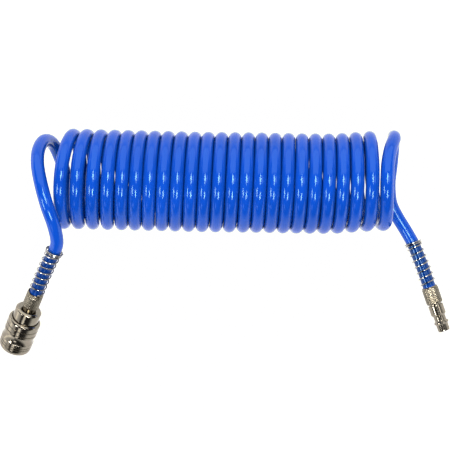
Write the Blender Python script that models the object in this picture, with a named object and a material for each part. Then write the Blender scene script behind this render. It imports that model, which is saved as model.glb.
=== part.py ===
"""A recoil air hose: a closely wound polyurethane spiral hose lying on its side.

A quick coupler is clamped on one end and the matching plug on the other. Each end has a knurled
clamp nut, which holds a steel bend-protection spring round the hose.

The frame: +X runs along the coil, towards the plug end. +Y is the side away from the two fittings.
+Z is up. The origin is on the floor, under the middle of the coil.
Lengths below are in millimetres and are turned into metres where a mesh is made.
"""

import bmesh
import bpy
from math import cos, pi, radians, sin
from mathutils import Matrix, Vector

MM = 0.001

# Hose
HOSE_R = 5.0  # outer radius of the 10 x 6.5 mm hose
HOSE_BORE_R = 3.25

# Coil of 24 turns, lying on the floor
COIL_OUTER_R = 38.25
COIL_LENGTH = 245.0
COIL_SIDES = 40
COIL_Z = COIL_OUTER_R

# Clearances between neighbouring pieces
GAP = 0.3

# Bend-protection springs
GUARD_WIRE_R = 0.5
GUARD_MEAN_R = 5.87
GUARD_CLOSED_TURNS = 2
GUARD_CLOSED_PITCH = 1.35
GUARD_PITCH = 4.85

# Clamp nuts
NUT_R = 6.4
NUT_LENGTH = 13.8
NUT_BORE_R = 5.55
THREAD_R = 5.2
NUT_LIFT = 4.0  # how far a nut and its spring move back when the nut is screwed off its thread

# Coupler: a straight line from the rear of its nut down to the mouth, where its sleeve rests on the floor
COUPLER_NUT_REAR = Vector((-140.3, -85.8, 34.76))
COUPLER_PLAN = radians(24.4)  # turned from -Y towards -X
COUPLER_DIP = radians(27.1)  # below level
COUPLER_GUARD_LENGTH = 41.0

# Stations along the coupler, counted from the rear of its nut
SHOULDER_S = 15.9
SLEEVE_REAR_S = 25.8
MOUTH_S = 55.2
BODY_FRONT_S = 54.6
BALL_S = 47.6

ADAPTER_R = 10.15
BODY_R = 8.0
SOCKET_R = 6.1
SLEEVE_R = 12.6
SLEEVE_TRAVEL = 4.0
SLEEVE_NOSE_R = 4.7  # radius of the rounding at the mouth
SLEEVE_BORE_R = ADAPTER_R + GAP
SLEEVE_LAND_R = BODY_R + GAP
BALL_R = 1.5
BALL_COUNT = 6
BALL_TRAVEL = 1.2
BALL_ORBIT_R = 6.45
BALL_HOLE_R = 1.85
VALVE_TRAVEL = 5.0

# Plug: lies level on the floor, on its nut
PLUG_NUT_REAR = Vector((162.5, -78.8, NUT_R + 0.02))
PLUG_PLAN = radians(19.6)  # turned from -Y towards +X
PLUG_GUARD_LENGTH = 37.6
PLUG_BODY_S = 14.7
PLUG_TIP_S = 36.2
PLUG_BODY_R = 5.9
PLUG_NECK_R = 4.6
PLUG_BEAD_R = 5.8
PLUG_TIP_R = 4.75
PLUG_BORE_R = 3.4

SMOOTH_BELOW = radians(30)


def clear_scene():
    for thing in list(bpy.data.objects):
        bpy.data.objects.remove(thing, do_unlink=True)


def material(name, colour, roughness, metallic):
    made = bpy.data.materials.new(name)
    made.use_nodes = True
    shader = made.node_tree.nodes["Principled BSDF"]
    shader.inputs["Base Color"].default_value = (*colour, 1.0)
    shader.inputs["Roughness"].default_value = roughness
    shader.inputs["Metallic"].default_value = metallic
    made.diffuse_color = (*colour, 1.0)
    return made


def place(thing, parent, own_material):
    bpy.context.scene.collection.objects.link(thing)
    thing.parent = parent
    thing.data.materials.append(own_material)
    return thing


def axis_empty(name, start_mm, direction):
    """An empty at start whose local +Z points along direction and whose local +X is level."""
    z = direction.normalized()
    x = Vector((0, 0, 1)).cross(z).normalized()
    y = z.cross(x)
    turn = Matrix((x, y, z)).transposed().to_4x4()
    empty = bpy.data.objects.new(name, None)
    bpy.context.scene.collection.objects.link(empty)
    empty.matrix_world = Matrix.Translation(start_mm * MM) @ turn
    return empty


def turned(name, profile, sides, parent, own_material, phase=0.0):
    """A closed outline of (radius, station) points, spun round local Z."""
    shape = bmesh.new()
    start = Matrix.Rotation(phase, 3, "Z")
    corners = [shape.verts.new(start @ Vector((r, 0, s)) * MM) for r, s in profile]
    edges = [shape.edges.new((a, b)) for a, b in zip(corners, corners[1:] + corners[:1])]
    bmesh.ops.spin(
        shape,
        geom=corners + edges,
        cent=(0, 0, 0),
        axis=(0, 0, 1),
        angle=2 * pi,
        steps=sides,
        use_merge=True,
    )
    bmesh.ops.remove_doubles(shape, verts=shape.verts, dist=1e-6)
    loose = [edge for edge in shape.edges if not edge.link_faces]
    bmesh.ops.delete(shape, geom=loose, context="EDGES")
    bmesh.ops.recalc_face_normals(shape, faces=shape.faces)
    mesh = bpy.data.meshes.new(name)
    shape.to_mesh(mesh)
    shape.free()
    mesh.shade_smooth()
    mesh.set_sharp_from_angle(angle=SMOOTH_BELOW)
    return place(bpy.data.objects.new(name, mesh), parent, own_material)


def rounded(centre_r, centre_s, radius, first, last, steps):
    """Outline points on a fillet. Angles are from +r towards +s."""
    angles = [radians(first + (last - first) * i / steps) for i in range(steps + 1)]
    return [(centre_r + radius * cos(a), centre_s + radius * sin(a)) for a in angles]


def path_curve(name, points_mm, radius, resolution, parent, own_material):
    """A round tube with closed ends along the points."""
    curve = bpy.data.curves.new(name, "CURVE")
    curve.dimensions = "3D"
    curve.bevel_depth = radius * MM
    curve.bevel_resolution = resolution
    curve.use_fill_caps = True
    spline = curve.splines.new("POLY")
    spline.points.add(len(points_mm) - 1)
    for knot, point in zip(spline.points, points_mm):
        knot.co = (*(Vector(point) * MM), 1.0)
    return place(bpy.data.objects.new(name, curve), parent, own_material)


def spring_points(mean_r, wire_r, low, high, closed_turns, closed_pitch, pitch, per_turn):
    """Centre line of a coil spring from station low up to high, closed at its low end."""
    first = low + wire_r
    length = high - low - 2 * wire_r
    open_turns = (length - closed_turns * closed_pitch) / pitch
    steps = round((closed_turns + open_turns) * per_turn)
    points = []
    for i in range(steps + 1):
        turns = (closed_turns + open_turns) * i / steps
        closed = min(turns, closed_turns)
        station = first + closed * closed_pitch + (turns - closed) * pitch
        angle = 2 * pi * turns
        points.append((mean_r * cos(angle), mean_r * sin(angle), station))
    return points


def smooth_route(knots, spacing):
    """Evenly spaced points on a smooth curve through the knots, ends included."""
    knots = [Vector(k) for k in knots]
    padded = [2 * knots[0] - knots[1], *knots, 2 * knots[-1] - knots[-2]]
    fine = [knots[0]]
    for a, b, c, d in zip(padded, padded[1:], padded[2:], padded[3:]):
        spans = [max((q - p).length, 1e-6) ** 0.5 for p, q in ((a, b), (b, c), (c, d))]
        leave = ((b - a) / spans[0] - (c - a) / (spans[0] + spans[1]) + (c - b) / spans[1]) * spans[1]
        reach = ((c - b) / spans[1] - (d - b) / (spans[1] + spans[2]) + (d - c) / spans[2]) * spans[1]
        for i in range(1, 25):
            t = i / 24
            fine.append(
                (2 * t**3 - 3 * t**2 + 1) * b
                + (t**3 - 2 * t**2 + t) * leave
                + (3 * t**2 - 2 * t**3) * c
                + (t**3 - t**2) * reach
            )
    along = [0.0]
    for p, q in zip(fine, fine[1:]):
        along.append(along[-1] + (q - p).length)
    count = max(2, round(along[-1] / spacing))
    points = []
    k = 0
    for i in range(count + 1):
        goal = along[-1] * i / count
        while k < len(along) - 2 and along[k + 1] < goal:
            k += 1
        share = (goal - along[k]) / (along[k + 1] - along[k])
        points.append(fine[k].lerp(fine[k + 1], share))
    return points


def ball(name, centre, parent, own_material):
    mesh = bpy.data.meshes.new(name)
    shape = bmesh.new()
    bmesh.ops.create_uvsphere(shape, u_segments=10, v_segments=7, radius=BALL_R * MM)
    shape.to_mesh(mesh)
    shape.free()
    mesh.shade_smooth()
    thing = place(bpy.data.objects.new(name, mesh), parent, own_material)
    thing.location = centre * MM
    return thing


def radial_cutter(name, station, count, radius, inner, outer, parent):
    """Round rods standing out from the axis, to drill the ball holes with."""
    shape = bmesh.new()
    for i in range(count):
        angle = 2 * pi * i / count
        middle = (inner + outer) / 2
        stand = Matrix.Rotation(angle, 4, "Z") @ Matrix.Rotation(pi / 2, 4, "Y")
        move = Matrix.Translation(Vector((middle * cos(angle), middle * sin(angle), station)) * MM)
        bmesh.ops.create_cone(
            shape,
            cap_ends=True,
            segments=12,
            radius1=radius * MM,
            radius2=radius * MM,
            depth=(outer - inner) * MM,
            matrix=move @ stand,
        )
    bmesh.ops.recalc_face_normals(shape, faces=shape.faces)
    mesh = bpy.data.meshes.new(name)
    shape.to_mesh(mesh)
    shape.free()
    cutter = bpy.data.objects.new(name, mesh)
    bpy.context.scene.collection.objects.link(cutter)
    cutter.parent = parent
    cutter.hide_render = True
    cutter.display_type = "WIRE"
    return cutter


def drill(thing, cutter):
    cut = thing.modifiers.new("drill", "BOOLEAN")
    cut.operation = "DIFFERENCE"
    cut.solver = "EXACT"
    cut.object = cutter


def heading(plan, dip, side):
    """Unit direction from -Y, turned by plan towards side * X and dipping below level."""
    return Vector((side * sin(plan) * cos(dip), -cos(plan) * cos(dip), -sin(dip)))


def hose_end(name, guard_length, hose_front, parent, own_material):
    """The straight end of the hose in its guard and nut, bored out over the barb."""
    rear = -guard_length - NUT_LIFT - 1.5
    bore = HOSE_BORE_R + 0.45
    outline = [
        (0, rear),
        (HOSE_R, rear),
        (HOSE_R, hose_front),
        (bore, hose_front),
        (bore, -8.0),
        (0, -8.0),
    ]
    return turned(name, outline, 16, parent, own_material)


def guard(name, length, pitch, parent, own_material):
    points = spring_points(
        GUARD_MEAN_R,
        GUARD_WIRE_R,
        -length,
        -GAP,
        GUARD_CLOSED_TURNS,
        GUARD_CLOSED_PITCH,
        pitch,
        14,
    )
    return path_curve(name, points, GUARD_WIRE_R, 1, parent, own_material)


def clamp_nut(name, parent, own_material):
    outline = [
        (NUT_BORE_R, 0.0),
        (NUT_R - 0.4, 0.0),
        (NUT_R, 0.4),
        (NUT_R, NUT_LENGTH - 0.5),
        (NUT_R - 0.5, NUT_LENGTH),
        (NUT_BORE_R, NUT_LENGTH),
    ]
    return turned(name, outline, 24, parent, own_material)


def barb_outline(tip, root, bore_r):
    """The hose barb from its tip to the root of the clamp thread, on the outside."""
    top = HOSE_BORE_R + 0.12
    low = HOSE_BORE_R - 0.35
    steps = [(bore_r, tip), (low - 0.3, tip)]
    station = tip + 1.2
    while station < root - 3.0:
        steps += [(top, station), (top, station + 0.6), (low, station + 0.9)]
        station += 3.2
    steps.append((low, root - 0.2))
    return steps


def make_coil(own_material):
    """The outer shape of the wound turns: a ring with a flat side on the floor."""
    side_half_angle = pi / COIL_SIDES
    corner = 1 / cos(side_half_angle)
    outer = COIL_OUTER_R * corner
    inner = (COIL_OUTER_R - 2 * HOSE_R) * corner
    half = COIL_LENGTH / 2
    soft = 1.5
    outline = [
        (inner, -half),
        (outer - soft, -half),
        (outer, -half + soft),
        (outer, half - soft),
        (outer - soft, half),
        (inner, half),
    ]
    centre = axis_empty("coil_axis", Vector((0, 0, COIL_Z)), Vector((1, 0, 0)))
    # One face of the ring is square to the floor's normal, so that the coil lies on it.
    turned("hose_coil", outline, COIL_SIDES, centre, own_material, phase=side_half_angle)


def make_coupler(hose, plated, steel, rubber):
    direction = heading(COUPLER_PLAN, COUPLER_DIP, -1)
    axis = axis_empty("coupler_axis", COUPLER_NUT_REAR, direction)

    hose_end("hose_end_coupler", COUPLER_GUARD_LENGTH, 9.6, axis, hose)
    guard("coupler_spring_guard", COUPLER_GUARD_LENGTH, 5.15, axis, steel)
    clamp_nut("coupler_nut", axis, plated)

    # Rear body, with the barb and the clamp thread behind and a cup for the valve body in front
    adapter = barb_outline(-6.0, 9.9, 2.2) + [
        (THREAD_R, 9.9),
        (THREAD_R, SHOULDER_S),
        (ADAPTER_R - 1.6, SHOULDER_S),
        (ADAPTER_R, SHOULDER_S + 1.6),
        (ADAPTER_R, 31.0),
        (BODY_R + GAP, 31.0),
        (BODY_R + GAP, 23.7),
        (3.0, 23.7),
        (2.2, 21.5),
    ]
    turned("coupler_adapter", adapter, 24, axis, plated)
    turned(
        "adapter_seal_ring",
        [(6.3, 24.0), (7.8, 24.0), (7.8, 24.9), (6.3, 24.9)],
        20,
        axis,
        rubber,
    )

    # Valve body: socket for the plug, seal groove, valve seat and chamber
    body = [
        (SOCKET_R, 25.2),
        (BODY_R, 25.2),
        (BODY_R, 49.6),
        (BODY_R - 0.6, 49.6),
        (BODY_R - 0.6, 51.2),
        (BODY_R, 51.2),
        (BODY_R, BODY_FRONT_S - 0.4),
        (BODY_R - 0.4, BODY_FRONT_S),
        (SOCKET_R + 0.3, BODY_FRONT_S),
        (SOCKET_R, BODY_FRONT_S - 0.3),
        (SOCKET_R, 41.5),
        (SOCKET_R + 0.8, 41.5),
        (SOCKET_R + 0.8, 39.9),
        (5.0, 39.9),
        (5.0, 38.9),
        (SOCKET_R, 38.9),
    ]
    shell = turned("coupler_body", body, 24, axis, plated)
    drill(shell, radial_cutter("ball_holes", BALL_S, BALL_COUNT, BALL_HOLE_R, 4.5, 10.0, axis))
    turned(
        "socket_seal_ring",
        [(5.3, 40.2), (6.6, 40.2), (6.6, 41.2), (5.3, 41.2)],
        20,
        axis,
        rubber,
    )
    turned(
        "sleeve_stop_ring",
        [(BODY_R - 0.3, 49.9), (8.8, 49.9), (8.8, 50.9), (BODY_R - 0.3, 50.9)],
        20,
        axis,
        steel,
    )

    # Sliding sleeve. Inside it a cone lets the balls out as the sleeve is drawn back.
    front_r = BALL_ORBIT_R + BALL_R + BALL_TRAVEL + 0.5
    nose_centre = (SLEEVE_R - SLEEVE_NOSE_R, MOUTH_S - SLEEVE_NOSE_R)
    nose_edge = front_r - nose_centre[0]
    nose_last = (SLEEVE_NOSE_R**2 - nose_edge**2) ** 0.5
    sleeve = [
        (SLEEVE_BORE_R, SLEEVE_REAR_S),
        (SLEEVE_R - 1.7, SLEEVE_REAR_S),
        (SLEEVE_R - 0.6, SLEEVE_REAR_S + 0.5),
        (SLEEVE_R, SLEEVE_REAR_S + 1.9),
        (SLEEVE_R, SLEEVE_REAR_S + 9.6),
        (SLEEVE_R - 0.7, SLEEVE_REAR_S + 10.2),
        (SLEEVE_R - 0.7, SLEEVE_REAR_S + 16.6),
        (SLEEVE_R, SLEEVE_REAR_S + 17.2),
    ]
    sleeve += rounded(*nose_centre, SLEEVE_NOSE_R, 0, 60, 4)
    sleeve += [
        (front_r, nose_centre[1] + nose_last),
        (front_r, BALL_S + SLEEVE_TRAVEL),
        (SLEEVE_LAND_R, BALL_S - 0.5),
        (SLEEVE_LAND_R, 42.0),
        (SLEEVE_BORE_R, 42.0),
    ]
    turned("coupler_sleeve", sleeve, 32, axis, plated)
    path_curve(
        "sleeve_spring",
        spring_points(9.25, 0.42, 31.3, 41.7, 0, 1, 2.4, 10),
        0.42,
        0,
        axis,
        steel,
    )

    # Locking balls, each free to move outwards in its own hole
    for i in range(BALL_COUNT):
        angle = 2 * pi * i / BALL_COUNT
        centre = Vector((BALL_ORBIT_R * cos(angle), BALL_ORBIT_R * sin(angle), BALL_S))
        ball(f"locking_ball_{i + 1}", centre, axis, steel)

    # Check valve: opened by the plug, closed by its spring
    poppet = [
        (0, 31.5),
        (2.9, 31.5),
        (3.2, 31.9),
        (3.2, 35.3),
        (5.6, 35.3),
        (5.6, 36.9),
        (3.6, 36.9),
        (3.6, 39.1),
        (3.2, 39.5),
        (0, 39.5),
    ]
    turned("valve_poppet", poppet, 20, axis, plated)
    turned(
        "valve_seal_ring",
        [(3.9, 37.2), (5.6, 37.2), (5.6, 38.5), (3.9, 38.5)],
        20,
        axis,
        rubber,
    )
    path_curve(
        "valve_spring",
        spring_points(4.2, 0.38, 24.05, 35.0, 0, 1, 2.5, 10),
        0.38,
        0,
        axis,
        steel,
    )
    return axis


def make_plug(hose, plated, steel):
    direction = heading(PLUG_PLAN, 0.0, 1)
    axis = axis_empty("plug_axis", PLUG_NUT_REAR, direction)
    hose_end("hose_end_plug", PLUG_GUARD_LENGTH, 9.2, axis, hose)
    guard("plug_spring_guard", PLUG_GUARD_LENGTH, GUARD_PITCH, axis, steel)
    clamp_nut("plug_nut", axis, plated)
    neck_s = PLUG_TIP_S - 12.3
    body = barb_outline(-6.0, 9.5, 2.2) + [
        (THREAD_R, 9.5),
        (THREAD_R, PLUG_BODY_S),
        (PLUG_BODY_R - 0.4, PLUG_BODY_S),
        (PLUG_BODY_R, PLUG_BODY_S + 0.4),
        (PLUG_BODY_R, neck_s - 1.0),
        (PLUG_NECK_R, neck_s),
        (PLUG_NECK_R, neck_s + 3.8),
        (PLUG_BEAD_R, neck_s + 4.6),
        (PLUG_BEAD_R, neck_s + 5.8),
        (PLUG_TIP_R, neck_s + 6.8),
        (PLUG_TIP_R, PLUG_TIP_S - 1.0),
        (PLUG_TIP_R - 0.4, PLUG_TIP_S),
        (PLUG_BORE_R, PLUG_TIP_S),
        (PLUG_BORE_R, PLUG_BODY_S + 3.0),
        (2.2, PLUG_BODY_S + 1.5),
    ]
    turned("plug_body", body, 24, axis, plated)
    return axis


def make_tails(coupler, plug, hose):
    """The two free stretches of hose between the coil and the fittings."""
    back = -COUPLER_GUARD_LENGTH - NUT_LIFT - 1.5 - GAP
    end = coupler.matrix_world @ Vector((0, 0, back * MM)) / MM
    before = coupler.matrix_world @ Vector((0, 0, (back - 4.0) * MM)) / MM
    knots = [
        (-128.5, 20.7, 13.6),
        (-132.0, 29.4, 26.0),
        (-134.7, 29.3, 41.0),
        (-136.5, 23.1, 55.0),
        (-136.5, 11.1, 66.0),
        (-133.8, -3.4, 72.6),
        (-130.1, -17.9, 73.4),
        (-126.4, -31.0, 70.4),
        before,
    ]
    # The last run is straight, so that its end face meets the clamped end squarely.
    path_curve("hose_tail_coupler", smooth_route(knots, 13.0) + [end], HOSE_R, 3, None, hose)

    back = -PLUG_GUARD_LENGTH - NUT_LIFT - 1.5 - GAP
    end = plug.matrix_world @ Vector((0, 0, back * MM)) / MM
    before = plug.matrix_world @ Vector((0, 0, (back - 3.0) * MM)) / MM
    floor = HOSE_R + 0.05
    knots = [
        (129.9, 33.25, 38.25),
        (131.8, 29.5, 21.0),
        (132.4, 18.0, 9.0),
        (131.3, 5.5, floor),
        (130.7, -6.5, floor),
        (133.0, -18.0, floor),
        before,
    ]
    path_curve("hose_tail_plug", smooth_route(knots, 12.0) + [end], HOSE_R, 3, None, hose)


def main():
    clear_scene()
    hose = material("blue_polyurethane", (0.012, 0.085, 0.72), 0.22, 0.0)
    plated = material("nickel_plated_brass", (0.56, 0.53, 0.48), 0.25, 1.0)
    steel = material("spring_steel", (0.60, 0.60, 0.60), 0.28, 1.0)
    rubber = material("black_rubber", (0.02, 0.02, 0.02), 0.55, 0.0)
    make_coil(hose)
    coupler = make_coupler(hose, plated, steel, rubber)
    plug = make_plug(hose, plated, steel)
    make_tails(coupler, plug, hose)


main()
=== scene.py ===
from collections import namedtuple
from math import ceil, cos, pi, radians, sin, sqrt

import bpy
from mathutils import Matrix, Vector


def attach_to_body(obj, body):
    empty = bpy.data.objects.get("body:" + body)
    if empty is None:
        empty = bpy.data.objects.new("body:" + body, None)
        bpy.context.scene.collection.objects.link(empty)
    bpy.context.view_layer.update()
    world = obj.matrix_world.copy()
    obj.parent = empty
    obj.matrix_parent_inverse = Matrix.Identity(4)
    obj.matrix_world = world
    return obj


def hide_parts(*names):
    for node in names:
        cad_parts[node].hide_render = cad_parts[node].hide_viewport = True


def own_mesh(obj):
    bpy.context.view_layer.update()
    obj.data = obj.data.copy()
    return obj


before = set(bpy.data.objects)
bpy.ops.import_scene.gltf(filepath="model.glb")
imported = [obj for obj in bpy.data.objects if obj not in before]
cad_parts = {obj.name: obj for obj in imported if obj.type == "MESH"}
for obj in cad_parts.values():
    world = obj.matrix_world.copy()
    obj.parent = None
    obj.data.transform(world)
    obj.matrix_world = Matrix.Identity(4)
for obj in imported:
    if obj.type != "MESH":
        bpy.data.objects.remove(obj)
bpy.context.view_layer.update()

MM = 0.001
ROOT = "hose_with_ends"

# ---------------------------------------------------------------- dimensions, in millimetres

HOSE_R = 5.0
HOSE_BORE_R = 3.7  # where a barb has pushed the bore open
COIL_R = 33.25  # radius of the hose's centre line in the coil
COIL_Z = 38.25
TURNS = 24
TURN_STEPS = 16
HOSE_SPACING = 3.2
HOSE_SIDES = 28
BARB_REACH = 15.6  # the barbs go this far into the hose
BARB_BORE_R = 2.2
BARB_TIP_S = -6.0

GUARD_WIRE_R = 0.5
GUARD_MEAN_R = 5.93
GUARD_CLOSED_TURNS = 2
GUARD_CLOSED_PITCH = 1.35
GUARD_FLARE = 0.75  # the last turns open out, so that the guard can slide back along the bent hose
GUARD_FLARE_LENGTH = 6.5
GUARD_TURN_STEPS = 28
GUARD_SIDES = 10
SPRING_TURN_STEPS = 24
SPRING_SIDES = 8
GUARD_STRAIGHT_SHARE = 0.25  # the share of a guard, from its nut, that isn't bent

NUT_R = 6.4
NUT_LENGTH = 13.8
NUT_BORE_R = 5.55
THREAD_R = 5.2
GAP = 0.3

COUPLER_NUT_REAR = Vector((-140.3, -85.8, 34.76))
COUPLER_PLAN = radians(24.4)
COUPLER_DIP = radians(27.1)
COUPLER_GUARD_LENGTH = 41.0
COUPLER_GUARD_PITCH = 5.15
COUPLER_BEND = Vector((1.25, -0.75, 0.25))  # how far the guard's hose end stands off the straight axis

SHOULDER_S = 15.9
SLEEVE_REAR_S = 25.8
MOUTH_S = 55.2
BODY_FRONT_S = 54.6
BALL_S = 47.6
ADAPTER_R = 10.15
BODY_R = 8.0
SOCKET_R = 6.1
SLEEVE_R = 12.6
SLEEVE_NOSE_R = 4.7
SLEEVE_TRAVEL = 4.0
SLEEVE_BORE_R = ADAPTER_R + GAP
SLEEVE_LAND_R = BODY_R + GAP
BALL_R = 1.5
BALL_COUNT = 6
BALL_TRAVEL = 1.2
BALL_ORBIT_R = 6.45
BALL_HOLE_R = 1.85

PLUG_NUT_REAR = Vector((162.5, -78.8, NUT_R + 0.02))
PLUG_PLAN = radians(19.6)
PLUG_GUARD_LENGTH = 37.6
PLUG_GUARD_PITCH = 4.85
PLUG_BEND = Vector((-1.15, -0.45, -0.3))
PLUG_BODY_S = 14.7
PLUG_TIP_S = 36.2
PLUG_BODY_R = 5.9
PLUG_NECK_R = 4.6
PLUG_BEAD_R = 5.8
PLUG_TIP_R = 4.75
PLUG_BORE_R = 3.4


def heading(plan, dip, side):
    """Direction of a fitting, from its hose to its mouth."""
    return Vector((side * sin(plan) * cos(dip), -cos(plan) * cos(dip), -sin(dip)))


def axis_frame(start_mm, direction):
    """Local +Z along direction, local +X level."""
    z = direction.normalized()
    x = Vector((0, 0, 1)).cross(z).normalized()
    turn = Matrix((x, z.cross(x), z)).transposed().to_4x4()
    return Matrix.Translation(start_mm * MM) @ turn


COUPLER_D = heading(COUPLER_PLAN, COUPLER_DIP, -1)
PLUG_D = heading(PLUG_PLAN, 0.0, 1)
COUPLER = axis_frame(COUPLER_NUT_REAR, COUPLER_D)
PLUG = axis_frame(PLUG_NUT_REAR, PLUG_D)

Fitting = namedtuple("Fitting", "nut_rear direction bend guard_length guard_pitch")
COUPLER_END = Fitting(COUPLER_NUT_REAR, COUPLER_D, COUPLER_BEND, COUPLER_GUARD_LENGTH, COUPLER_GUARD_PITCH)
PLUG_END = Fitting(PLUG_NUT_REAR, PLUG_D, PLUG_BEND, PLUG_GUARD_LENGTH, PLUG_GUARD_PITCH)


# ---------------------------------------------------------------- camera

CAMERA_AT = Vector((2.46, -32.87, 1083.0))
CAMERA_ROLL = radians(0.8)
CAMERA_LENS = 110.4
CAMERA_SENSOR = 36.0


def make_camera():
    data = bpy.data.cameras.new("camera")
    data.sensor_width = CAMERA_SENSOR
    data.lens = CAMERA_LENS
    data.clip_start = 0.05
    data.clip_end = 30.0
    camera = bpy.data.objects.new("camera", data)
    bpy.context.scene.collection.objects.link(camera)
    camera.location = CAMERA_AT * MM
    camera.rotation_euler = (0, 0, CAMERA_ROLL)
    bpy.context.scene.camera = camera


# ---------------------------------------------------------------- curves and meshes


def cubic(start, leave, end, reach, t):
    """Cubic curve from start to end, with the given slopes at both, at a share t of the way."""
    return (
        (2 * t**3 - 3 * t**2 + 1) * start
        + (t**3 - 2 * t**2 + t) * leave
        + (3 * t**2 - 2 * t**3) * end
        + (t**3 - t**2) * reach
    )


def smooth_route(knots, spacing):
    """Evenly spaced points on a centripetal Catmull-Rom curve through the knots, ends included."""
    steps = 12
    padded = [2 * knots[0] - knots[1], *knots, 2 * knots[-1] - knots[-2]]
    fine = [knots[0]]
    for a, b, c, d in zip(padded, padded[1:], padded[2:], padded[3:]):
        spans = [max((q - p).length, 1e-6) ** 0.5 for p, q in ((a, b), (b, c), (c, d))]
        leave = ((b - a) / spans[0] - (c - a) / (spans[0] + spans[1]) + (c - b) / spans[1]) * spans[1]
        reach = ((c - b) / spans[1] - (d - b) / (spans[1] + spans[2]) + (d - c) / spans[2]) * spans[1]
        fine += [cubic(b, leave, c, reach, i / steps) for i in range(1, steps + 1)]
    along = [0.0]
    for p, q in zip(fine, fine[1:]):
        along.append(along[-1] + (q - p).length)
    count = max(2, ceil(along[-1] / spacing))
    points = []
    k = 0
    for i in range(count + 1):
        goal = along[-1] * i / count
        while k < len(along) - 2 and along[k + 1] < goal:
            k += 1
        share = (goal - along[k]) / (along[k + 1] - along[k])
        points.append(fine[k].lerp(fine[k + 1], share))
    return points


def on_straights(table, at):
    """Value at a place in a rising table of (place, value), on straight lines between its rows."""
    if at <= table[0][0]:
        return table[0][1]
    for (a, p), (b, q) in zip(table, table[1:]):
        if at <= b:
            return p + (q - p) * (at - a) / (b - a)
    return table[-1][1]


def on_curve(table, at):
    """Value at a place in a table of (place, value), on a smooth curve; rows may be unevenly spaced."""
    last = len(table) - 1
    k = max(i for i in range(last) if table[i][0] <= at or i == 0)

    def slope(i):
        low, high = table[max(i - 1, 0)], table[min(i + 1, last)]
        return (high[1] - low[1]) / (high[0] - low[0])

    (a, p), (b, q) = table[k], table[k + 1]
    return cubic(p, slope(k) * (b - a), q, slope(k + 1) * (b - a), (at - a) / (b - a))


def finish_mesh(name, verts, faces, finish, matrix=None, sharp=30):
    mesh = bpy.data.meshes.new(name)
    mesh.from_pydata([tuple(v) for v in verts], [], faces)
    mesh.update()
    mesh.shade_smooth()
    if sharp:
        mesh.set_sharp_from_angle(angle=radians(sharp))
    thing = bpy.data.objects.new(name, mesh)
    bpy.context.scene.collection.objects.link(thing)
    if matrix is not None:
        thing.matrix_world = matrix
    thing.data.materials.append(finish)
    return thing


def walls(rings, sides, closed=False):
    """Faces between neighbouring rings of vertex numbers. A ring of one vertex is a pole."""
    faces = []
    for low, high in zip(rings, rings[1:] + rings[:1] if closed else rings[1:]):
        if len(low) == 1 and len(high) == 1:
            continue
        for k in range(sides):
            n = (k + 1) % sides
            corners = [low[k % len(low)], low[n % len(low)], high[n % len(high)], high[k % len(high)]]
            faces.append(list(dict.fromkeys(corners)))
    return faces


def carried_frames(points, reach):
    """Two directions across a path at each of its points, carried along it without twist."""
    last = len(points) - 1
    frames = []
    normal = None
    for i in range(last + 1):
        ahead = (points[min(i + reach, last)] - points[max(i - reach, 0)]).normalized()
        if normal is None:
            normal = ahead.orthogonal().normalized()
        normal = (normal - ahead * normal.dot(ahead)).normalized()
        frames.append((normal, ahead.cross(normal)))
    return frames


def tube(name, stations, sides, finish):
    """A closed tube through (centre, directions across, radius), in millimetres. A radius of 0 is a pole."""
    verts, rings = [], []
    for centre, (across, up), radius in stations:
        first = len(verts)
        if radius == 0:
            verts.append(centre * MM)
        else:
            for k in range(sides):
                a = 2 * pi * k / sides
                verts.append((centre + (across * cos(a) + up * sin(a)) * radius) * MM)
        rings.append(list(range(first, len(verts))))
    return finish_mesh(name, verts, walls(rings, sides), finish)


def wire(name, points, radius, sides, finish):
    """Round wire along points, in millimetres, with a flat face at both ends."""
    route = [points[0], *points, points[-1]]
    radii = [0.0] + [radius] * len(points) + [0.0]
    return tube(name, list(zip(route, carried_frames(route, 2), radii)), sides, finish)


def held(outline):
    """The outline with more points near the ends of each long run, which is then shaded flat between them."""
    long_run = 0.7
    inset = 0.12
    points = []
    for (r, s), (to_r, to_s) in zip(outline, outline[1:] + outline[:1]):
        points.append((r, s))
        length = sqrt((to_r - r) ** 2 + (to_s - s) ** 2)
        if length > long_run and r and to_r:
            for share in (inset / length, 1 - inset / length):
                points.append((r + (to_r - r) * share, s + (to_s - s) * share))
    return points


def lathe(name, outline, sides, finish, matrix, sharp=30):
    """A closed outline of (radius, station) points turned round local Z. Points at radius 0 are poles."""
    verts, rings = [], []
    for r, s in held(outline):
        first = len(verts)
        if r == 0:
            verts.append(Vector((0, 0, s)) * MM)
        else:
            for k in range(sides):
                a = 2 * pi * k / sides
                verts.append(Vector((r * cos(a), r * sin(a), s)) * MM)
        rings.append(list(range(first, len(verts))))
    return finish_mesh(name, verts, walls(rings, sides, closed=True), finish, matrix, sharp)


def arc(centre_r, centre_s, radius, first, last, steps):
    """Outline points on a fillet. Angles are from +r towards +s."""
    angles = [radians(first + (last - first) * i / steps) for i in range(steps + 1)]
    return [(centre_r + radius * cos(a), centre_s + radius * sin(a)) for a in angles]


def groove(r, s, width, depth):
    """A turned groove with softened lips in a surface of radius r, going towards +s."""
    lip = min(0.12, width / 6)
    return [
        (r, s - width / 2 - lip),
        (r - lip * 0.6, s - width / 2),
        (r - depth, s - width / 2 + lip),
        (r - depth, s + width / 2 - lip),
        (r - lip * 0.6, s + width / 2),
        (r, s + width / 2 + lip),
    ]


# ---------------------------------------------------------------- materials


def new_material(name):
    made = bpy.data.materials.new(name)
    made.use_nodes = True
    return made, made.node_tree.nodes, made.node_tree.links, made.node_tree.nodes["Principled BSDF"]


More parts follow.
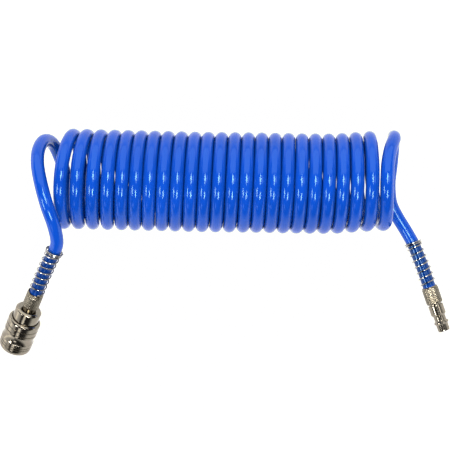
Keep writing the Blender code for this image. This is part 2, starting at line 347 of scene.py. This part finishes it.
def noise(nodes, links, coordinates, scale, detail, roughness, stretch=(1, 1, 1)):
    where = nodes.new("ShaderNodeMapping")
    where.inputs["Scale"].default_value = stretch
    links.new(coordinates, where.inputs["Vector"])
    made = nodes.new("ShaderNodeTexNoise")
    made.inputs["Scale"].default_value = scale
    made.inputs["Detail"].default_value = detail
    made.inputs["Roughness"].default_value = roughness
    links.new(where.outputs["Vector"], made.inputs["Vector"])
    return made.outputs["Fac"]


def ranged(nodes, links, value, low, high, start=0.0, end=1.0):
    made = nodes.new("ShaderNodeMapRange")
    made.inputs["From Min"].default_value = start
    made.inputs["From Max"].default_value = end
    made.inputs["To Min"].default_value = low
    made.inputs["To Max"].default_value = high
    links.new(value, made.inputs["Value"])
    return made.outputs["Result"]


def two_colours(nodes, links, value, first, second):
    made = nodes.new("ShaderNodeMix")
    made.data_type = "RGBA"
    made.inputs["A"].default_value = (*first, 1)
    made.inputs["B"].default_value = (*second, 1)
    links.new(value, made.inputs["Factor"])
    return made.outputs["Result"]


def bump(nodes, links, height, strength, distance, before=None):
    made = nodes.new("ShaderNodeBump")
    made.inputs["Strength"].default_value = strength
    made.inputs["Distance"].default_value = distance
    links.new(height, made.inputs["Height"])
    if before is not None:
        links.new(before, made.inputs["Normal"])
    return made.outputs["Normal"]


def painted_guard_shade(nodes, links, place, colour):
    """Painted shade: halves the colour in a soft-edged ball round the middle of each guard, where the wires
    shade the hose.
    """
    darkest, inner_share, outer_share = 0.5, 0.46, 0.54
    guard_shade_share = None
    for end in (COUPLER_END, PLUG_END):
        apart = nodes.new("ShaderNodeVectorMath")
        apart.operation = "DISTANCE"
        apart.inputs[1].default_value = (end.nut_rear - end.direction * end.guard_length / 2) * MM
        links.new(place, apart.inputs[0])
        inner, outer = inner_share * end.guard_length * MM, outer_share * end.guard_length * MM
        here = ranged(nodes, links, apart.outputs["Value"], darkest, 1.0, inner, outer)
        if guard_shade_share is None:
            guard_shade_share = here
            continue
        both = nodes.new("ShaderNodeMath")
        both.operation = "MULTIPLY"
        links.new(guard_shade_share, both.inputs[0])
        links.new(here, both.inputs[1])
        guard_shade_share = both.outputs["Value"]
    shade = nodes.new("ShaderNodeVectorMath")
    shade.operation = "SCALE"
    links.new(colour, shade.inputs[0])
    links.new(guard_shade_share, shade.inputs["Scale"])
    return shade.outputs["Vector"]


def hose_finish():
    """Glossy blue polyurethane: slightly uneven colour, a soft skin, duller patches and painted shade under
    the two guards.
    """
    made, nodes, links, shader = new_material("blue_polyurethane")
    place = nodes.new("ShaderNodeTexCoord").outputs["Object"]
    cloudy = noise(nodes, links, place, scale=38.0, detail=3.0, roughness=0.5)
    share = ranged(nodes, links, cloudy, low=0.0, high=1.0, start=0.3, end=0.7)
    colour = two_colours(nodes, links, share, (0.0030, 0.062, 0.375), (0.0040, 0.073, 0.425))
    # Painted shade under the two guards is multiplied into the base colour here.
    links.new(painted_guard_shade(nodes, links, place, colour), shader.inputs["Base Color"])
    patches = noise(nodes, links, place, scale=60.0, detail=2.0, roughness=0.5)
    dull = ranged(nodes, links, patches, low=0.09, high=0.125, start=0.35, end=0.65)
    links.new(dull, shader.inputs["Roughness"])
    skin = noise(nodes, links, place, scale=160.0, detail=2.0, roughness=0.4)
    links.new(bump(nodes, links, skin, strength=0.02, distance=0.0002), shader.inputs["Normal"])
    shader.inputs["IOR"].default_value = 1.50
    shader.inputs["Specular Tint"].default_value = (0.55, 0.92, 0.88, 1)
    made.diffuse_color = (0.01, 0.08, 0.7, 1)
    return made


def metal_finish(name, dark, light, smoothest, roughest, lines=0.10, grain=0.05):
    """Metal with marks that run round local Z, a slightly uneven tone and fine wear."""
    made, nodes, links, shader = new_material(name)
    place = nodes.new("ShaderNodeTexCoord").outputs["Object"]
    tone = noise(nodes, links, place, scale=120.0, detail=4.0, roughness=0.55)
    share = ranged(nodes, links, tone, low=0.0, high=1.0, start=0.3, end=0.7)
    links.new(two_colours(nodes, links, share, dark, light), shader.inputs["Base Color"])
    wear = noise(nodes, links, place, scale=420.0, detail=5.0, roughness=0.6)
    dull = ranged(nodes, links, wear, low=smoothest, high=roughest, start=0.35, end=0.7)
    links.new(dull, shader.inputs["Roughness"])
    turning = noise(nodes, links, place, scale=1000.0, detail=3.0, roughness=0.6, stretch=(0.02, 0.02, 5.0))
    first = bump(nodes, links, turning, strength=lines, distance=0.00002)
    dents = noise(nodes, links, place, scale=300.0, detail=2.0, roughness=0.5)
    both = bump(nodes, links, dents, strength=grain, distance=0.0001, before=first)
    links.new(both, shader.inputs["Normal"])
    shader.inputs["Metallic"].default_value = 1.0
    made.diffuse_color = (*light, 1)
    return made


def rubber_finish():
    made, nodes, links, shader = new_material("black_rubber")
    place = nodes.new("ShaderNodeTexCoord").outputs["Object"]
    dust = noise(nodes, links, place, scale=500.0, detail=5.0, roughness=0.6)
    colour = two_colours(nodes, links, dust, (0.012, 0.012, 0.013), (0.035, 0.034, 0.033))
    links.new(colour, shader.inputs["Base Color"])
    links.new(ranged(nodes, links, dust, low=0.45, high=0.7), shader.inputs["Roughness"])
    links.new(bump(nodes, links, dust, strength=0.15, distance=0.0002), shader.inputs["Normal"])
    return made


# ---------------------------------------------------------------- hose

# The coil isn't wound evenly. Rows are (turn number, millimetres), with straight lines between them: the
# place along X of each turn's far (+Y) side, then how far back from it the turn's near side and its top are.
FAR_SIDE_X = [(1, -112.8), (2, -102.4), (4, -81.4), (21, 90.1), (22, 100.3), (23, 110.9), (24, 129.4)]
NEAR_SIDE_BACK = [
    (1, 6.4), (3, 5.5), (5, 4.5), (11, 4.3), (14, 3.6), (19, 3.4), (21, 2.7), (23, 1.1), (24, 7.3),
]
TOP_BACK = [
    (1, 5.8), (2, 4.4), (3, 3.1), (5, 2.3), (11, 2.15), (14, 1.8), (19, 1.7), (21, 1.35), (23, 0.6),
    (24, 8.5),
]
# Two more rows of (turns, place along X), where the last turn swings away from the coil
LAST_SWING = [(23.09, 122.6), (23.18, 127.8)]
# (place along X, how far the coil's middle stands off in Y)
BOW_Y = [
    (-122, 0.5), (-60, -0.1), (-20, -0.6), (30, -0.5), (60, -0.7),
    (85, -0.5), (98, 0.6), (110, 1.6), (130, 2.6),
]

# Stations on each fitting's axis that the hose's centre line passes, and its points on the free stretches
COUPLER_STATIONS = (9.6, 4.8, 0.0, -8.0, -16.0, -24.0, -32.0, -40.0)
COUPLER_TAIL = [
    (-122.1, -47.6, 58.4),
    (-123.6, -35.0, 67.0),
    (-128.2, -20.6, 72.4),
    (-132.9, -4.4, 71.8),
    (-136.3, 9.5, 66.2),
    (-137.2, 20.5, 56.6),
    (-135.2, 28.7, 41.5),
    (-131.2, 28.5, 24.0),
    (-127.0, 19.0, 11.0),
    (-123.2, 5.0, 5.2),
    (-121.0, -12.7, 7.5),
    (-119.8, -24.6, 15.9),
]
PLUG_TAIL = [
    (131.0, 33.6, 23.5),
    (131.8, 26.0, 11.8),
    (131.4, 14.0, 6.0),
    (130.3, 1.0, 5.0),
    (132.0, -14.5, 5.0),
    (137.2, -25.0, 5.0),
    (143.0, -34.2, 5.3),
]
PLUG_STATIONS = (-36.0, -28.0, -20.0, -12.0, -4.0, 4.0, 9.2)


def bent_axis(end, s):
    """Centre line of a fitting and its hose: straight, then bent off the axis towards the hose end."""
    straight = end.nut_rear + end.direction * s
    start = GUARD_STRAIGHT_SHARE * end.guard_length
    into = max(0.0, (-s - start) / ((1 - GUARD_STRAIGHT_SHARE) * end.guard_length))
    return straight + end.bend * into**2


def coil_knots():
    """(turns, place along X) on each turn's near side, top and far side."""
    knots = []
    for turn in range(1, TURNS + 1):
        far = on_straights(FAR_SIDE_X, turn)
        knots.append((turn - 1.25, far - on_straights(NEAR_SIDE_BACK, turn)))
        knots.append((turn - 1.0, far - on_straights(TOP_BACK, turn)))
        if turn == TURNS:
            knots += LAST_SWING
        knots.append((turn - 0.75, far))
    return knots


def hose_route():
    """The whole hose's centre line, from inside the coupler's nut to inside the plug's nut."""
    knots = [bent_axis(COUPLER_END, s) for s in COUPLER_STATIONS]
    knots += [Vector(p) for p in COUPLER_TAIL]
    first, last = -0.25, TURNS - 0.75
    steps = round((last - first) * TURN_STEPS)
    across = coil_knots()
    for i in range(steps + 1):
        turns = first + (last - first) * i / steps
        angle = pi / 2 - 2 * pi * turns
        x = on_curve(across, turns)
        y = COIL_R * cos(angle) + on_straights(BOW_Y, x)
        knots.append(Vector((x, y, COIL_Z + COIL_R * sin(angle))))
    knots += [Vector(p) for p in PLUG_TAIL]
    knots += [bent_axis(PLUG_END, s) for s in PLUG_STATIONS]
    return smooth_route(knots, HOSE_SPACING)


def make_hose(route, finish):
    """One closed skin: the outside of the hose, its two end faces and the bore at each end."""
    frames = carried_frames(route, 1)
    enter = route[0] - COUPLER_D * BARB_REACH
    leave = route[-1] - PLUG_D * BARB_REACH
    first, last = frames[0], frames[-1]
    stations = [(enter, first, 0.0), (enter, first, HOSE_BORE_R), (route[0], first, HOSE_BORE_R)]
    stations += [(point, basis, HOSE_R) for point, basis in zip(route, frames)]
    stations += [(route[-1], last, HOSE_BORE_R), (leave, last, HOSE_BORE_R), (leave, last, 0.0)]
    return tube("hose", stations, HOSE_SIDES, finish)


# ---------------------------------------------------------------- fittings


def guard(name, end, finish):
    """Wire spring round the hose, closed at its hose end, following the hose's slight bend."""
    low, high = -end.guard_length + GUARD_WIRE_R, -GAP - GUARD_WIRE_R
    closed = GUARD_CLOSED_TURNS * GUARD_CLOSED_PITCH
    turns = GUARD_CLOSED_TURNS + (high - low - closed) / end.guard_pitch
    steps = round(turns * GUARD_TURN_STEPS)
    across = Vector((0, 0, 1)).cross(end.direction).normalized()
    up = end.direction.cross(across)
    points = []
    for i in range(steps + 1):
        t = turns * i / steps
        flat = min(t, GUARD_CLOSED_TURNS)
        s = low + flat * GUARD_CLOSED_PITCH + (t - flat) * end.guard_pitch
        a = 2 * pi * t
        r = GUARD_MEAN_R + GUARD_FLARE * max(0.0, 1 - (s - low) / GUARD_FLARE_LENGTH) ** 2
        points.append(bent_axis(end, s) + (across * cos(a) + up * sin(a)) * r)
    return wire(name, points, GUARD_WIRE_R, GUARD_SIDES, finish)


KNURL_STARTS = 28
KNURL_DEPTH = 0.2
KNURL_STEPS = 6  # points across one start
KNURL_SLANT = 0.62
KNURL_STEEPNESS = 3.0
KNURL_FADE = 0.8  # length over which the knurl fades out at both ends
KNURL_END_SHARE = 0.25  # how much of the knurl is left there
TURNED_LINE_HALF = 0.35
TURNED_LINE_DEPTH = 0.22


def knurl_radius(k, s, low, high, lines):
    """Radius of the nut at point k round it and station s. lines are the stations of its turned lines."""

    def ridge(x):
        return 1 - abs(2 * (x % 1.0) - 1)

    round_it = k / KNURL_STEPS
    along = s / (2 * pi * NUT_R / KNURL_STARTS) * KNURL_SLANT
    diamond = min(ridge(round_it + along), ridge(round_it - along))
    line = max([0.0] + [1 - abs(s - at) / TURNED_LINE_HALF for at in lines])
    fade = max(min(1.0, (s - low) / KNURL_FADE, (high - s) / KNURL_FADE), 0.0)
    strength = KNURL_END_SHARE + (1 - KNURL_END_SHARE) * fade
    height = min(1.0, diamond * KNURL_STEEPNESS) * (1 - line) * strength
    return NUT_R - KNURL_DEPTH + KNURL_DEPTH * height - TURNED_LINE_DEPTH * line


def knurled_nut(name, matrix, lines, finish):
    """Clamp nut with a fine diamond knurl. lines are the stations of turned lines at its hose end."""
    sides = KNURL_STARTS * KNURL_STEPS
    low, high = 0.55, NUT_LENGTH - 0.6
    count = round((high - low) / (2 * pi * NUT_R / KNURL_STARTS / KNURL_STEPS))
    foot_r = NUT_R - KNURL_DEPTH - 0.02
    rows = [
        ([NUT_BORE_R] * sides, 0.35),
        ([NUT_BORE_R + 0.2] * sides, 0.0),
        ([NUT_R - 0.45] * sides, 0.0),
        ([foot_r] * sides, 0.4),
    ]
    for i in range(count + 1):
        s = low + (high - low) * i / count
        rows.append(([knurl_radius(k, s, low, high, lines) for k in range(sides)], s))
    rows += [
        ([foot_r] * sides, NUT_LENGTH - 0.45),
        ([NUT_R - 0.55] * sides, NUT_LENGTH),
        ([NUT_BORE_R + 0.15] * sides, NUT_LENGTH),
        ([NUT_BORE_R] * sides, NUT_LENGTH - 0.3),
    ]
    verts, rings = [], []
    for radii, s in rows:
        rings.append(list(range(len(verts), len(verts) + sides)))
        for k, r in enumerate(radii):
            a = 2 * pi * k / sides
            verts.append(Vector((r * cos(a), r * sin(a), s)) * MM)
    return finish_mesh(name, verts, walls(rings, sides, closed=True), finish, matrix)


def barb_outline(root):
    """The bore's end and the barbs, from the tip inside the hose to the root."""
    top = 3.37
    low = 2.9
    pitch = 3.2
    steps = [(BARB_BORE_R, BARB_TIP_S), (low - 0.3, BARB_TIP_S)]
    station = BARB_TIP_S + 1.2
    while station < root - 3.0:
        steps += [(top, station), (top, station + 0.6), (low, station + 0.9)]
        station += pitch
    return steps + [(low, root - 0.2), (low, root)]


def thread_outline(first, last, top, root):
    """Clamp thread drawn as rings, 1 mm apart."""
    points = []
    s = first
    while s + 1.0 <= last:
        points += [(root, s), (root, s + 0.15), (top, s + 0.45), (top, s + 0.6)]
        s += 1.0
    points.append((root, last))
    return points


def attach(thing, body, node):
    """Says what a piece rides on, which CAD node it stands for."""
    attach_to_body(thing, body)
    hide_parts(node)
    return thing


def rear_body_outline():
    outline = barb_outline(9.9)
    outline += thread_outline(10.0, 13.4, THREAD_R, THREAD_R - 0.45)
    return outline + [
        (THREAD_R - 0.45, SHOULDER_S),
        (ADAPTER_R - 1.75, SHOULDER_S),
        (ADAPTER_R - 1.45, SHOULDER_S + 0.12),
        (ADAPTER_R - 0.25, SHOULDER_S + 1.2),
        (ADAPTER_R, SHOULDER_S + 1.65),
        (ADAPTER_R, 31.0),
        (BODY_R + GAP, 31.0),
        (BODY_R + GAP, 23.7),
        (3.0, 23.7),
        (BARB_BORE_R, 21.5),
    ]


def valve_body_outline():
    """The plug's socket, with grooves for the stop ring and the seal, and the valve's seat."""
    return [
        (SOCKET_R, 25.2),
        (BODY_R, 25.2),
        (BODY_R, 49.6),
        (BODY_R - 0.6, 49.6),
        (BODY_R - 0.6, 51.2),
        (BODY_R, 51.2),
        (BODY_R, BODY_FRONT_S - 0.5),
        (BODY_R - 0.15, BODY_FRONT_S - 0.15),
        (BODY_R - 0.5, BODY_FRONT_S),
        (SOCKET_R + 0.5, BODY_FRONT_S),
        (SOCKET_R + 0.15, BODY_FRONT_S - 0.15),
        (SOCKET_R, BODY_FRONT_S - 0.5),
        (SOCKET_R, 41.5),
        (SOCKET_R + 0.8, 41.5),
        (SOCKET_R + 0.8, 39.9),
        (5.0, 39.9),
        (5.0, 38.9),
        (SOCKET_R, 38.9),
    ]


def poppet_outline():
    return [
        (0, 31.5),
        (2.9, 31.5),
        (3.2, 31.9),
        (3.2, 35.3),
        (5.5, 35.3),
        (5.6, 35.4),
        (5.6, 36.8),
        (5.5, 36.9),
        (3.6, 36.9),
        (3.6, 38.9),
        (3.35, 39.3),
        (2.9, 39.5),
        (0, 39.5),
    ]


def make_balls(steel):
    outline = [(0, -BALL_R)] + arc(0, 0, BALL_R, -84, 84, 14) + [(0, BALL_R)]
    for i in range(BALL_COUNT):
        a = 2 * pi * i / BALL_COUNT
        place = Vector((BALL_ORBIT_R * cos(a), BALL_ORBIT_R * sin(a), BALL_S)) * MM
        ball = lathe(f"lock_ball_{i + 1}", outline, 28, steel, COUPLER @ Matrix.Translation(place), sharp=0)
        attach(ball, f"ball_{i + 1}", f"locking_ball_{i + 1}")


def make_spring(name, node, finish, mean_r, wire_r, low, high, pitch):
    """A spring on the coupler's axis, from station low to station high, that its joint squashes."""
    first, length = low + wire_r, high - low - 2 * wire_r
    turns = length / pitch
    steps = round(turns * SPRING_TURN_STEPS)
    points = []
    for i in range(steps + 1):
        a = 2 * pi * turns * i / steps
        local = Vector((mean_r * cos(a), mean_r * sin(a), first + length * i / steps))
        points.append(COUPLER @ (local * MM) / MM)
    spring = attach(wire(name, points, wire_r, SPRING_SIDES, finish), ROOT, node)
    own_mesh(spring)


def make_coupler(plated, knurled, steel, rubber):
    attach(guard("coupler_guard_wire", COUPLER_END, steel), "coupler_guard", "coupler_spring_guard")
    nut = knurled_nut("coupler_nut_knurled", COUPLER, (0.9, 1.9, 2.9), knurled)
    attach(nut, "coupler_clamp_nut", "coupler_nut")
    rear = lathe("coupler_rear_body", rear_body_outline(), 72, plated, COUPLER)
    attach(rear, ROOT, "coupler_adapter")
    seal = lathe("rear_seal", arc(7.05, 24.45, 0.44, 0, 345, 14), 48, rubber, COUPLER, sharp=0)
    attach(seal, ROOT, "adapter_seal_ring")
    shell = lathe("coupler_valve_body", valve_body_outline(), 72, plated, COUPLER)
    drill_ball_holes(shell)
    attach(shell, ROOT, "coupler_body")
    seal = lathe("socket_seal", arc(5.95, 40.7, 0.62, 0, 345, 14), 56, rubber, COUPLER, sharp=0)
    attach(seal, ROOT, "socket_seal_ring")
    stop = lathe("stop_ring", arc(8.15, 50.4, 0.55, 0, 345, 12), 64, steel, COUPLER, sharp=0)
    attach(stop, ROOT, "sleeve_stop_ring")
    sleeve = lathe("coupler_sliding_sleeve", sleeve_outline(), 96, plated, COUPLER)
    attach(sleeve, "sleeve", "coupler_sleeve")
    make_balls(steel)
    attach(lathe("valve_disc", poppet_outline(), 56, plated, COUPLER), "valve", "valve_poppet")
    outline = [(3.9, 37.2), (5.5, 37.2), (5.6, 37.3), (5.6, 38.2), (5.3, 38.5), (3.9, 38.5)]
    attach(lathe("valve_seal", outline, 56, rubber, COUPLER), "valve", "valve_seal_ring")
    make_spring(
        "return_spring", "sleeve_spring", steel,
        mean_r=9.25, wire_r=0.42, low=31.3, high=41.7, pitch=2.4,
    )
    make_spring(
        "check_spring", "valve_spring", steel,
        mean_r=4.2, wire_r=0.38, low=24.05, high=35.0, pitch=2.5,
    )


def drill_ball_holes(shell):
    """Six holes for the balls, cut through the valve body's wall."""
    inside, depth = 4.5, 5.5
    cutters = []
    for i in range(BALL_COUNT):
        a = 2 * pi * i / BALL_COUNT
        stand = COUPLER @ Matrix.Rotation(a, 4, "Z") @ Matrix.Translation(Vector((inside, 0, BALL_S)) * MM)
        stand = stand @ Matrix.Rotation(pi / 2, 4, "Y")
        outline = [(0, 0), (BALL_HOLE_R, 0), (BALL_HOLE_R, depth), (0, depth)]
        cutter = lathe(f"ball_hole_{i}", outline, 28, shell.data.materials[0], stand)
        cutters.append(cutter)
        cut = shell.modifiers.new(f"hole_{i}", "BOOLEAN")
        cut.operation = "DIFFERENCE"
        cut.solver = "EXACT"
        cut.object = cutter
    bpy.context.view_layer.update()
    cut_mesh = bpy.data.meshes.new_from_object(shell.evaluated_get(bpy.context.evaluated_depsgraph_get()))
    shell.modifiers.clear()
    shell.data = cut_mesh
    cut_mesh.shade_smooth()
    cut_mesh.set_sharp_from_angle(angle=radians(30))
    for cutter in cutters:
        bpy.data.objects.remove(cutter, do_unlink=True)


def sleeve_outline():
    front_r = BALL_ORBIT_R + BALL_R + BALL_TRAVEL + 0.5
    centre = (SLEEVE_R - SLEEVE_NOSE_R, MOUTH_S - SLEEVE_NOSE_R)
    edge = front_r - centre[0]
    nose_s = centre[1] + sqrt(SLEEVE_NOSE_R**2 - edge**2)
    rear = SLEEVE_REAR_S
    outline = [
        (SLEEVE_BORE_R, rear + 0.3),
        (SLEEVE_BORE_R + 0.15, rear),
        (SLEEVE_R - 1.7, rear),
        (SLEEVE_R - 1.2, rear + 0.1),
        (SLEEVE_R - 0.5, rear + 0.65),
        (SLEEVE_R - 0.12, rear + 1.3),
        (SLEEVE_R, rear + 2.0),
    ]
    outline += groove(SLEEVE_R, 31.5, 0.7, 0.35) + groove(SLEEVE_R, 35.5, 0.7, 0.35)
    outline += [(SLEEVE_R, rear + 11.7), (SLEEVE_R - 0.08, rear + 11.9)]
    # A shallow hollow all round
    middle, half, deep = rear + 15.0, 3.0, 0.35
    outline += [(SLEEVE_R - 0.2 - deep * cos(pi / 2 * i / 6), middle + half * i / 6) for i in range(-6, 7)]
    outline += [(SLEEVE_R - 0.08, rear + 18.1), (SLEEVE_R, rear + 18.3)]
    outline += groove(SLEEVE_R, 46.6, 0.6, 0.3) + groove(SLEEVE_R, 48.6, 0.6, 0.3)
    outline += arc(*centre, SLEEVE_NOSE_R, 0, 62, 14)
    outline += [
        (front_r + 0.25, nose_s),
        (front_r, nose_s - 0.2),
        (front_r, BALL_S + SLEEVE_TRAVEL),
        (SLEEVE_LAND_R, BALL_S - 0.5),
        (SLEEVE_LAND_R, 42.0),
        (SLEEVE_BORE_R, 42.0),
    ]
    return outline


def plug_outline():
    neck = PLUG_TIP_S - 12.3
    body = barb_outline(9.5)
    body += thread_outline(9.6, 13.4, THREAD_R, THREAD_R - 0.45)
    body += [
        (THREAD_R - 0.45, PLUG_BODY_S),
        (PLUG_BODY_R - 0.5, PLUG_BODY_S),
        (PLUG_BODY_R - 0.12, PLUG_BODY_S + 0.15),
        (PLUG_BODY_R, PLUG_BODY_S + 0.5),
        (PLUG_BODY_R, neck - 1.6),
        (PLUG_BODY_R - 0.25, neck - 1.2),
        (PLUG_NECK_R + 0.2, neck - 0.2),
        (PLUG_NECK_R, neck + 0.2),
        (PLUG_NECK_R, neck + 3.6),
        (PLUG_NECK_R + 0.15, neck + 3.9),
        (PLUG_BEAD_R - 0.2, neck + 4.5),
        (PLUG_BEAD_R, neck + 4.8),
        (PLUG_BEAD_R, neck + 5.6),
        (PLUG_BEAD_R - 0.2, neck + 5.9),
        (PLUG_TIP_R + 0.15, neck + 6.7),
        (PLUG_TIP_R, neck + 7.0),
        (PLUG_TIP_R - 0.1, PLUG_TIP_S - 1.0),
        (PLUG_TIP_R - 0.25, PLUG_TIP_S - 0.3),
        (PLUG_TIP_R - 0.55, PLUG_TIP_S),
        (PLUG_BORE_R + 0.2, PLUG_TIP_S),
        (PLUG_BORE_R, PLUG_TIP_S - 0.25),
        (PLUG_BORE_R, PLUG_BODY_S + 3.0),
        (BARB_BORE_R, PLUG_BODY_S + 1.5),
    ]
    return body


def make_plug(plated, knurled, steel):
    """The pieces on the plug end."""
    spring = guard("plug_guard_wire", PLUG_END, steel)
    nut = knurled_nut("plug_nut_knurled", PLUG, (0.9,), knurled)
    nose = lathe("plug_nose", plug_outline(), 72, plated, PLUG)
    return [
        attach(spring, "plug_guard", "plug_spring_guard"),
        attach(nut, "plug_clamp_nut", "plug_nut"),
        attach(nose, ROOT, "plug_body"),
    ]


# ---------------------------------------------------------------- floor and light


FLOOR_HALF = 6.0
FLOOR_DROP = 0.0004  # below the plane that the object stands on


def make_floor():
    """A plain white floor that gives off most of its own light."""
    mesh = bpy.data.meshes.new("floor")
    h = FLOOR_HALF
    mesh.from_pydata([(-h, -h, 0), (h, -h, 0), (h, h, 0), (-h, h, 0)], [], [(0, 1, 2, 3)])
    floor = bpy.data.objects.new("floor", mesh)
    bpy.context.scene.collection.objects.link(floor)
    floor.location.z = -FLOOR_DROP
    made, _, _, shader = new_material("pale_table")
    shader.inputs["Base Color"].default_value = (0.21, 0.21, 0.21, 1)
    shader.inputs["Roughness"].default_value = 0.9
    shader.inputs["Specular IOR Level"].default_value = 0.1
    shader.inputs["Emission Color"].default_value = (1, 1, 1, 1)
    shader.inputs["Emission Strength"].default_value = 0.77
    mesh.materials.append(made)


def area_light(name, at, towards, width, height, radiance):
    """A soft panel. width is level, height follows; radiance is its brightness, whatever its size."""
    data = bpy.data.lights.new(name, "AREA")
    data.shape = "RECTANGLE"
    data.size = width
    data.size_y = height
    data.energy = radiance * pi * width * height
    lamp = bpy.data.objects.new(name, data)
    bpy.context.scene.collection.objects.link(lamp)
    aim = Vector(towards) - Vector(at)
    lamp.rotation_euler = aim.to_track_quat("-Z", "Y").to_euler()
    lamp.location = at
    lamp.visible_camera = False


def make_world():
    """Bright round the horizon and below it, dark overhead."""
    world = bpy.data.worlds.new("studio")
    bpy.context.scene.world = world
    world.use_nodes = True
    nodes, links = world.node_tree.nodes, world.node_tree.links
    background = nodes["Background"]
    where = nodes.new("ShaderNodeTexCoord")
    split = nodes.new("ShaderNodeSeparateXYZ")
    links.new(where.outputs["Generated"], split.inputs[0])
    ramp = nodes.new("ShaderNodeValToRGB")
    ramp.color_ramp.elements[0].position = 0.04
    ramp.color_ramp.elements[0].color = (0.70, 0.70, 0.70, 1)
    ramp.color_ramp.elements[1].position = 0.22
    ramp.color_ramp.elements[1].color = (0.03, 0.03, 0.03, 1)
    links.new(split.outputs["Z"], ramp.inputs["Fac"])
    links.new(ramp.outputs["Color"], background.inputs["Color"])
    background.inputs["Strength"].default_value = 1.0


def make_lights():
    top = 1.25
    area_light("panel_a", (0.10, 0.12, top), (0, 0, 0), 0.50, 0.40, 13.0)
    area_light("panel_c", (0.20, -0.74, top), (0, 0, 0), 0.42, 0.40, 14.0)
    area_light("panel_b", (-1.15, -0.54, 1.05), (0, 0, 0), 0.46, 0.44, 11.0)
    area_light("far_wall", (0, 1.0, 0.85), (0, 0, 0.05), 2.4, 1.5, 1.35)
    area_light("left_wall", (-0.31, -0.10, 0.055), (0, -0.1, 0.055), 0.5, 0.10, 0.7)
    area_light("right_wall", (0.31, -0.10, 0.055), (0, -0.1, 0.055), 0.5, 0.10, 0.7)
    area_light("front_left", (-0.53, -0.89, 0.54), (-0.155, -0.12, 0.02), 0.27, 0.20, 1.7)
    area_light("right_over", (0.66, 0.07, 0.86), (0.17, -0.10, 0.006), 0.26, 0.34, 2.2)


def set_tone_curves():
    """Pale tones are lifted to white in all channels, and bright blues are dulled in the blue channel."""
    view = bpy.context.scene.view_settings
    view.use_curve_mapping = True
    mapping = view.curve_mapping
    all_tones = [(0.32, 0.335), (0.74, 0.985)]
    blue_tones = [(0.30, 0.31), (0.56, 0.585), (0.78, 0.68), (0.86, 0.73), (0.90, 0.90), (0.94, 0.97)]
    for curve, knots in ((mapping.curves[3], all_tones), (mapping.curves[2], blue_tones)):
        for x, y in knots:
            curve.points.new(x, y)
        for point in curve.points:
            point.handle_type = "VECTOR"
    mapping.update()


def main():
    make_camera()
    blue = hose_finish()
    nickel = metal_finish(
        "nickel_plating", (0.28, 0.25, 0.19), (0.335, 0.302, 0.24), smoothest=0.13, roughest=0.18
    )
    knurled = metal_finish(
        "knurled_nickel", (0.23, 0.204, 0.15), (0.29, 0.262, 0.20),
        smoothest=0.20, roughest=0.26, lines=0.05, grain=0.05,
    )
    spring_steel = metal_finish(
        "spring_steel", (0.36, 0.345, 0.31), (0.44, 0.425, 0.39),
        smoothest=0.12, roughest=0.18, lines=0.02, grain=0.03,
    )

    route = hose_route()
    hose = make_hose(route, blue)
    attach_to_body(hose, ROOT)
    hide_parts("hose_coil", "hose_tail_coupler", "hose_tail_plug", "hose_end_coupler", "hose_end_plug")
    make_coupler(nickel, knurled, spring_steel, rubber_finish())
    plug_pieces = make_plug(nickel, knurled, spring_steel)
    make_floor()
    make_world()
    make_lights()
    bpy.context.scene.view_settings.view_transform = "Standard"
    bpy.context.scene.view_settings.look = "None"
    set_tone_curves()


main()
